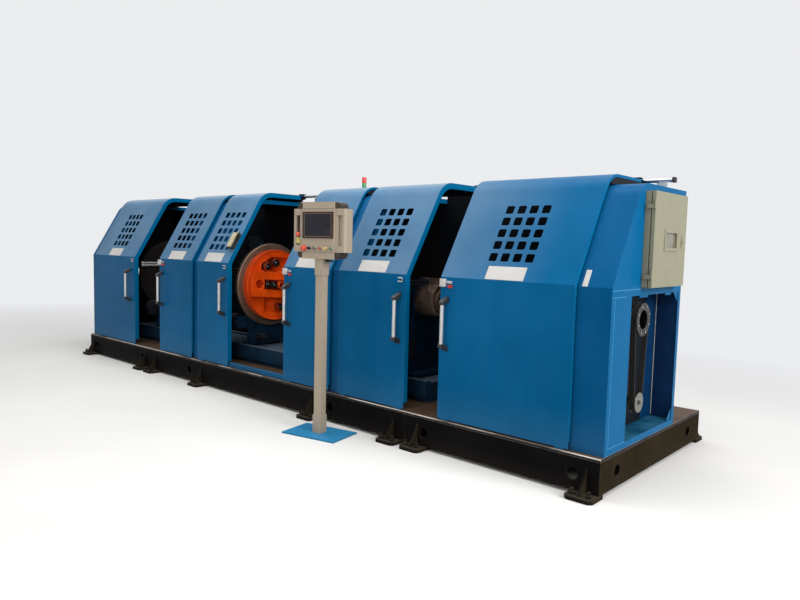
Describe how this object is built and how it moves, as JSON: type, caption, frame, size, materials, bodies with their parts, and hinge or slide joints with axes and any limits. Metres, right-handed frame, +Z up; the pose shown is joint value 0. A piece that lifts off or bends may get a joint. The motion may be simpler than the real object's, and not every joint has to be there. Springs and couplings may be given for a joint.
{
  "type": "cable taping machine",
  "caption": "Long floor-standing cable taping machine with sliding vented hoods, turning taping heads, belt drive end and a separate control pendant.",
  "frame": {"origin": "front left bottom corner of the base on the floor, at the underside of the front left foot pad", "axes": "+X along the machine from its left end to the belt drive end, +Y from the front to the rear, +Z up"},
  "size_m": [6.876, 2.2765, 2.115],
  "materials": {
    "base_black": "satin paint",
    "deck_plate": "matt paint",
    "hood_blue": "satin paint",
    "frame_blue": "satin paint",
    "rail_grey": "satin",
    "handle_aluminium": "satin",
    "black_plastic": "matt",
    "ring_steel": "turned",
    "disc_orange": "gloss paint",
    "roller_chrome": "polished",
    "motor_black": "satin paint",
    "bay_grey": "satin paint",
    "pulley_metal": "turned",
    "belt_rubber": "matt",
    "cabinet_beige": "textured paint",
    "clear_pane": "clear",
    "lamp_plastic": "gloss",
    "pendant_beige": "textured paint",
    "corner_brown": "matt",
    "screen_dark": "gloss",
    "button_plastic": "gloss"
  },
  "bodies": {
    "frame": {"base_cross_beams": "base_black", "base_feet": "base_black", "base_front_beams": "base_black", "base_rear_beams": "base_black", "bay_partition": "bay_grey", "bay_screen": "bay_grey", "bed": "frame_blue", "belt": "belt_rubber", "cabinet_box": "cabinet_beige", "deck_plates": "deck_plate", "drive_motors": "motor_black", "front_sill": "frame_blue", "head_stand_1": "frame_blue", "head_stand_2": "frame_blue", "head_stand_3": "frame_blue", "housing_inner_left": "hood_blue", "housing_inner_right": "hood_blue", "housing_left": "hood_blue", "housing_right": "hood_blue", "pendant_buttons": "button_plastic", "pendant_corners": "corner_brown", "pendant_panel": "pendant_beige", "pendant_plate": "frame_blue", "pendant_post": "pendant_beige", "pendant_screen": "screen_dark", "pulley_bearings": "pulley_metal", "rail_end_blocks": "black_plastic", "rail_feet": "rail_grey", "rear_wall": "frame_blue", "tape_reel": "motor_black", "top_rail": "rail_grey", "warning_light": "lamp_plastic"},
    "sliding_hood_a": {"handle_a": "handle_aluminium", "hood_a": "hood_blue"},
    "sliding_hood_b": {"handle_b": "handle_aluminium", "hood_b": "hood_blue"},
    "sliding_hood_c": {"hand_box": "pendant_beige", "handle_c": "handle_aluminium", "hood_c": "hood_blue"},
    "sliding_hood_d": {"handle_d": "handle_aluminium", "hood_d": "hood_blue"},
    "sliding_hood_e": {"handle_e": "handle_aluminium", "hood_e": "hood_blue"},
    "sliding_hood_f": {"handle_f": "handle_aluminium", "hood_f": "hood_blue"},
    "turning_head_1": {"head_disc_1": "disc_orange", "head_rollers_1": "roller_chrome", "head_wheel_1": "ring_steel"},
    "turning_head_2": {"head_disc_2": "disc_orange", "head_rollers_2": "roller_chrome", "head_wheel_2": "ring_steel"},
    "turning_head_3": {"head_disc_3": "disc_orange", "head_rollers_3": "roller_chrome", "head_wheel_3": "ring_steel"},
    "door": {"cabinet_door": "cabinet_beige", "door_window": "clear_pane"},
    "upper_pulley_body": {"upper_pulley": "pulley_metal"},
    "lower_pulley_body": {"lower_pulley": "pulley_metal"}
  },
  "joints": [
    {"name": "hood_a_slide", "type": "slide", "parent": "frame", "child": "sliding_hood_a", "axis": [1, 0, 0], "range_m": [-0.1, 0.275]},
    {"name": "hood_b_slide", "type": "slide", "parent": "frame", "child": "sliding_hood_b", "axis": [1, 0, 0], "range_m": [-0.275, 0.04]},
    {"name": "hood_c_slide", "type": "slide", "parent": "frame", "child": "sliding_hood_c", "axis": [1, 0, 0], "range_m": [-0.04, 0.42]},
    {"name": "hood_d_slide", "type": "slide", "parent": "frame", "child": "sliding_hood_d", "axis": [1, 0, 0], "range_m": [-0.42, 0.04]},
    {"name": "hood_e_slide", "type": "slide", "parent": "frame", "child": "sliding_hood_e", "axis": [1, 0, 0], "range_m": [-0.04, 0.155]},
    {"name": "hood_f_slide", "type": "slide", "parent": "frame", "child": "sliding_hood_f", "axis": [1, 0, 0], "range_m": [-0.155, 0]},
    {"name": "head_1_turn", "type": "hinge", "parent": "frame", "child": "turning_head_1", "pos_m": [0, 0.568, 1.02], "axis": [1, 0, 0], "continuous": true},
    {"name": "head_2_turn", "type": "hinge", "parent": "frame", "child": "turning_head_2", "pos_m": [0, 0.568, 1.02], "axis": [1, 0, 0], "continuous": true},
    {"name": "head_3_turn", "type": "hinge", "parent": "frame", "child": "turning_head_3", "pos_m": [0, 0.568, 1.02], "axis": [1, 0, 0], "continuous": true},
    {"name": "cabinet_door_hinge", "type": "hinge", "parent": "frame", "child": "door", "pos_m": [6.863, 0.44, 1.525], "axis": [0, 0, -1], "range_deg": [0, 120]},
    {"name": "upper_pulley_turn", "type": "hinge", "parent": "frame", "child": "upper_pulley_body", "pos_m": [6.756, 0.568, 1.02], "axis": [1, 0, 0], "continuous": true},
    {"name": "lower_pulley_turn", "type": "hinge", "parent": "frame", "child": "lower_pulley_body", "pos_m": [6.756, 0.568, 0.486], "axis": [1, 0, 0], "continuous": true}
  ],
  "couplings": [
    {"joint": "lower_pulley_turn", "follows": "upper_pulley_turn", "ratio": 1.7083}
  ]
}
